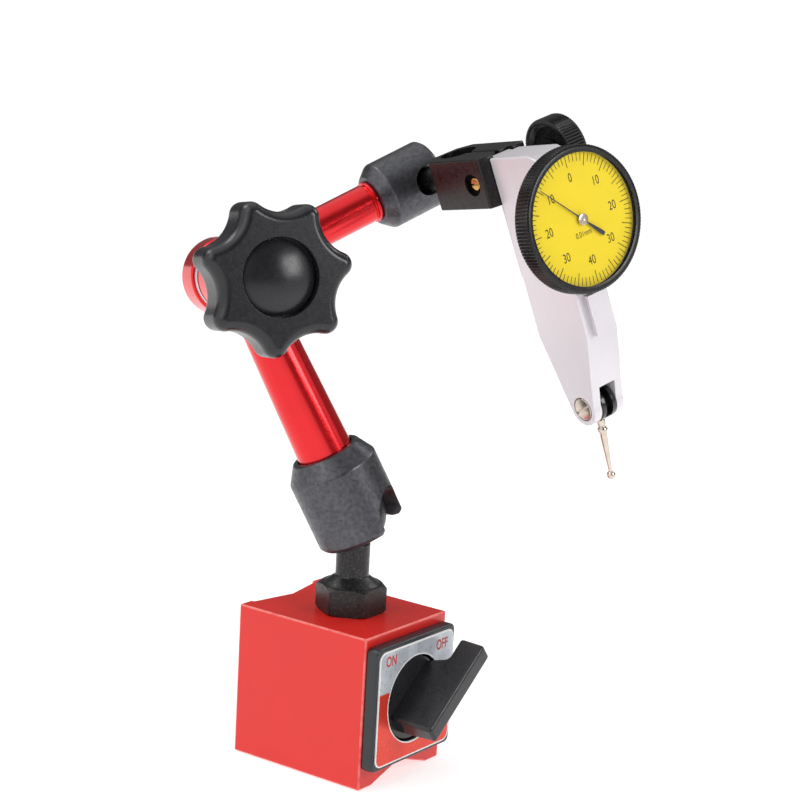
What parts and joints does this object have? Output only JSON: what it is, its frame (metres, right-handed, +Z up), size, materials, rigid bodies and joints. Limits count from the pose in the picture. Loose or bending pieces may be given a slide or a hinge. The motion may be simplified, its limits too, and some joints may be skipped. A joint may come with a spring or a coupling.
{
  "type": "dial indicator on magnetic base",
  "caption": "Small switchable magnetic base with a jointed arm on ball joints, a clamping knob at its elbow and a lever-type dial test indicator in a dovetail clamp.",
  "frame": {"origin": "under the middle of the whole object as posed, on the surface its feet stand on", "axes": "+Z up; -Y is the front, with the magnet switch; +X to the right seen from the front"},
  "size_m": [0.0852, 0.0888, 0.1479],
  "materials": {
    "red_paint": "gloss",
    "black_plastic": "satin",
    "switch_print": "printed",
    "bright_steel": "polished",
    "stylus_chrome": "polished",
    "carrier_aluminium": "machined",
    "magnet_ferrite": "matt",
    "blackened_steel": "blackened",
    "red_anodised": "anodised",
    "brass": "machined",
    "black_anodised": "anodised",
    "satin_aluminium": "satin",
    "yellow_dial": "printed",
    "black_pointer": "painted",
    "clear_crystal": "clear"
  },
  "bodies": {
    "base": {"pole_left": "red_paint", "pole_right": "red_paint", "pole_separator": "red_paint", "switch_plate": "black_plastic", "switch_label": "switch_print", "plate_screw_left": "bright_steel", "plate_screw_right": "bright_steel", "ball_stud": "blackened_steel"},
    "switch": {"rotor_carrier": "carrier_aluminium", "rotor_magnet": "magnet_ferrite", "handle_spindle": "bright_steel", "switch_handle": "black_plastic"},
    "lower_ball_body": {"lower_ball": "blackened_steel"},
    "lower_pad_body": {"lower_pressure_pad": "bright_steel"},
    "lower_arm_body": {"lower_cup": "blackened_steel", "lower_arm": "red_anodised", "lower_push_rod": "bright_steel", "elbow_washer": "bright_steel", "knob_washer": "bright_steel"},
    "knob_body": {"clamping_knob": "black_plastic", "knob_cap": "black_plastic", "knob_insert": "brass"},
    "draw_body": {"draw_bolt": "bright_steel", "lower_cone": "bright_steel", "upper_cone": "bright_steel"},
    "upper_arm_body": {"upper_arm": "red_anodised", "upper_cup": "blackened_steel", "upper_push_rod": "bright_steel", "upper_pressure_pad": "bright_steel"},
    "clamp_ball_body": {"clamp_ball": "blackened_steel"},
    "clamp_body": {"clamp_stud": "black_anodised", "clamp_block": "black_anodised"},
    "clamp_screw_body": {"clamp_screw": "brass"},
    "clamp_knob_body": {"clamp_knob": "black_anodised"},
    "indicator": {"indicator_body": "satin_aluminium", "side_cover": "satin_aluminium", "cover_screw_top": "bright_steel", "cover_screw_bottom": "bright_steel", "pivot_screw_near": "bright_steel", "pivot_screw_far": "bright_steel", "dial_seat": "satin_aluminium"},
    "bezel_body": {"bezel": "black_anodised", "dial_plate": "yellow_dial", "crystal": "clear_crystal"},
    "lever_body": {"sensing_lever": "bright_steel"},
    "crown_body": {"crown_gear": "brass"},
    "pointer_body": {"pointer_arbor": "bright_steel", "pointer": "black_pointer"},
    "stylus_body": {"stylus_carrier": "black_plastic", "stylus": "stylus_chrome"}
  },
  "joints": [
    {"name": "magnet_switch_turn", "type": "hinge", "parent": "base", "child": "switch", "pos_m": [0.0013, -0.0089, 0.0188], "axis": [0, -1, 0], "range_deg": [0, 90]},
    {"name": "lower_ball_turn", "type": "hinge", "parent": "base", "child": "lower_ball_body", "pos_m": [0.0013, 0.0071, 0.057], "axis": [0, 0, 1], "continuous": true},
    {"name": "lower_ball_tilt", "type": "hinge", "parent": "lower_ball_body", "child": "lower_pad_body", "pos_m": [0.0013, 0.0071, 0.057], "axis": [-0.7368, -0.6761, 0], "range_deg": [-58, 5]},
    {"name": "lower_arm_roll", "type": "hinge", "parent": "lower_pad_body", "child": "lower_arm_body", "pos_m": [0.0013, 0.0071, 0.057], "axis": [-0.3102, 0.3381, 0.8885], "continuous": true},
    {"name": "knob_turn", "type": "hinge", "parent": "lower_arm_body", "child": "knob_body", "pos_m": [-0.01729, 0.02736, 0.11024], "axis": [-0.4941, -0.8558, 0.1532], "range_deg": [0, 360]},
    {"name": "cone_draw", "type": "slide", "parent": "lower_arm_body", "child": "draw_body", "axis": [0.4941, 0.8558, -0.1532], "range_m": [0, 0.001]},
    {"name": "elbow_fold", "type": "hinge", "parent": "lower_arm_body", "child": "upper_arm_body", "pos_m": [-0.01729, 0.02736, 0.11024], "axis": [-0.4941, -0.8558, 0.1532], "range_deg": [-70, 250]},
    {"name": "clamp_ball_tilt", "type": "hinge", "parent": "upper_arm_body", "child": "clamp_ball_body", "pos_m": [0.02983, 0.01619, 0.13006], "axis": [0.3385, -0.2583, -0.9048], "range_deg": [-110, 10]},
    {"name": "clamp_turn", "type": "hinge", "parent": "clamp_ball_body", "child": "clamp_body", "pos_m": [0.02983, 0.01619, 0.13006], "axis": [-0.3066, -0.9394, 0.1535], "continuous": true},
    {"name": "clamp_screw_travel", "type": "slide", "parent": "clamp_body", "child": "clamp_screw_body", "axis": [0.9213, -0.2523, 0.2959], "range_m": [0, 0.0007]},
    {"name": "clamp_knob_turn", "type": "hinge", "parent": "clamp_screw_body", "child": "clamp_knob_body", "pos_m": [0.02069, -0.01205, 0.13443], "axis": [0.9213, -0.2523, 0.2959], "range_deg": [0, 360]},
    {"name": "indicator_slide", "type": "slide", "parent": "clamp_body", "child": "indicator", "axis": [-0.2393, 0.2321, 0.9428], "range_m": [-0.004, 0.014]},
    {"name": "bezel_turn", "type": "hinge", "parent": "indicator", "child": "bezel_body", "pos_m": [0.01657, -0.03489, 0.12776], "axis": [-0.3066, -0.9394, 0.1535], "continuous": true},
    {"name": "lever_swing", "type": "hinge", "parent": "indicator", "child": "lever_body", "pos_m": [0.02922, -0.03696, 0.08662], "axis": [0.9213, -0.2523, 0.2959], "range_deg": [-1.3, 1.3], "stiffness_Nm_per_rad": 0.05},
    {"name": "crown_turn", "type": "hinge", "parent": "indicator", "child": "crown_body", "pos_m": [0.02009, -0.0281, 0.12261], "axis": [0.9213, -0.2523, 0.2959], "range_deg": [-37.5, 37.5]},
    {"name": "pointer_turn", "type": "hinge", "parent": "indicator", "child": "pointer_body", "pos_m": [0.01657, -0.03489, 0.12776], "axis": [-0.3066, -0.9394, 0.1535], "range_deg": [-180, 180]},
    {"name": "stylus_set", "type": "hinge", "parent": "lever_body", "child": "stylus_body", "pos_m": [0.02922, -0.03696, 0.08662], "axis": [0.9213, -0.2523, 0.2959], "range_deg": [-100, 100]}
  ],
  "couplings": [
    {"joint": "cone_draw", "follows": "knob_turn", "m_per_rad": 0.00015915},
    {"joint": "clamp_screw_travel", "follows": "clamp_knob_turn", "m_per_rad": 0.00011141},
    {"joint": "lever_swing", "follows": "pointer_turn", "ratio": 0.007176},
    {"joint": "crown_turn", "follows": "pointer_turn", "ratio": -0.2069}
  ]
}
